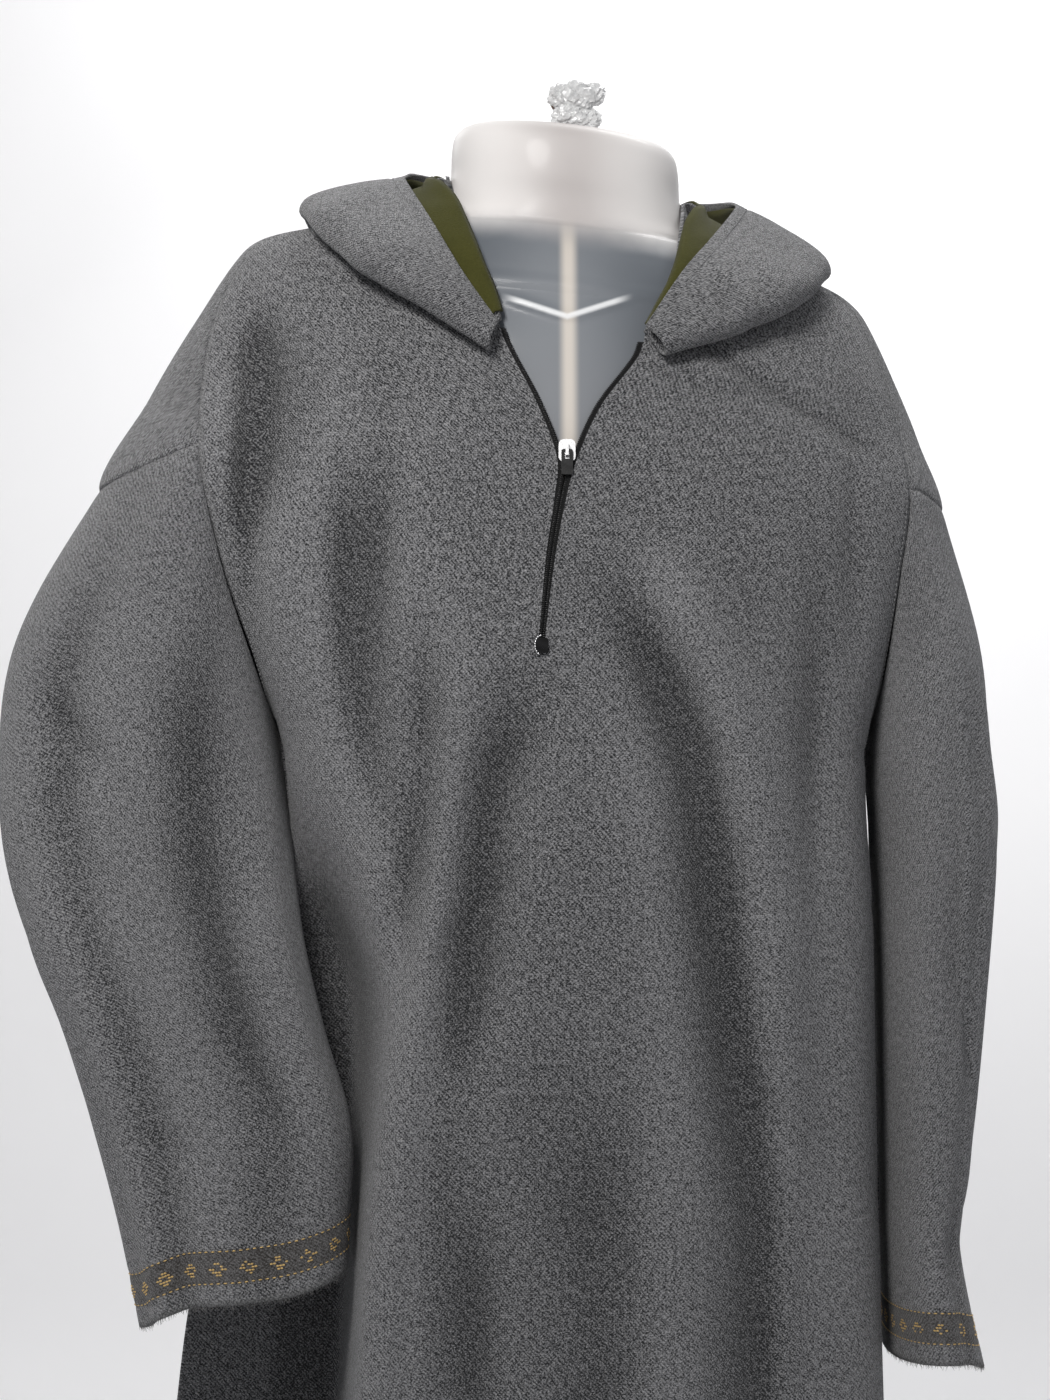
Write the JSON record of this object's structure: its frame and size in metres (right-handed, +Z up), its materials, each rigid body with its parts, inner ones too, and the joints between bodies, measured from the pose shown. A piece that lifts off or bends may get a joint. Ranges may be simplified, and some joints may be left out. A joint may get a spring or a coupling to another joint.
{
  "type": "hooded pheran on a hanging torso form",
  "caption": "Long loose hooded wool pheran with wide sleeves and a half zip, hanging on a limbless torso form with a hook.",
  "frame": {"origin": "middle of the hook's eye, from which the form and the garment hang", "axes": "+Z up; the front, with the zip, faces -Y; the sleeve at -X is the wearer's right"},
  "size_m": [0.6967, 0.288, 1.196],
  "materials": {
    "wool": "matt heathered twill",
    "fleece": "matt olive pile",
    "zip_black": "woven tape with coil teeth",
    "zip_metal": "satin nickel",
    "pull_black": "satin black",
    "form_plastic": "translucent",
    "hook_steel": "rusty",
    "film": "clear film",
    "gold_thread": "woven metallic thread"
  },
  "bodies": {
    "garment": {"front": "wool", "back": "wool", "sleeve_left": "wool", "sleeve_right": "wool", "hood_left": "wool", "hood_right": "wool", "hood_lining_left": "fleece", "hood_lining_right": "fleece", "collar_lining_left": "fleece", "collar_lining_right": "fleece", "zip_tape_left": "zip_black", "zip_tape_right": "zip_black", "slider": "zip_metal", "zip_stop": "zip_metal", "form": "form_plastic", "hook": "hook_steel", "hook_wrap": "film"},
    "pull": {"pull": "pull_black"}
  },
  "joints": [
    {"name": "pull_swing", "type": "hinge", "parent": "garment", "child": "pull", "pos_m": [-0.0005, -0.12117, -0.25671], "axis": [-1, 0, 0], "range_deg": [0, 150]}
  ]
}
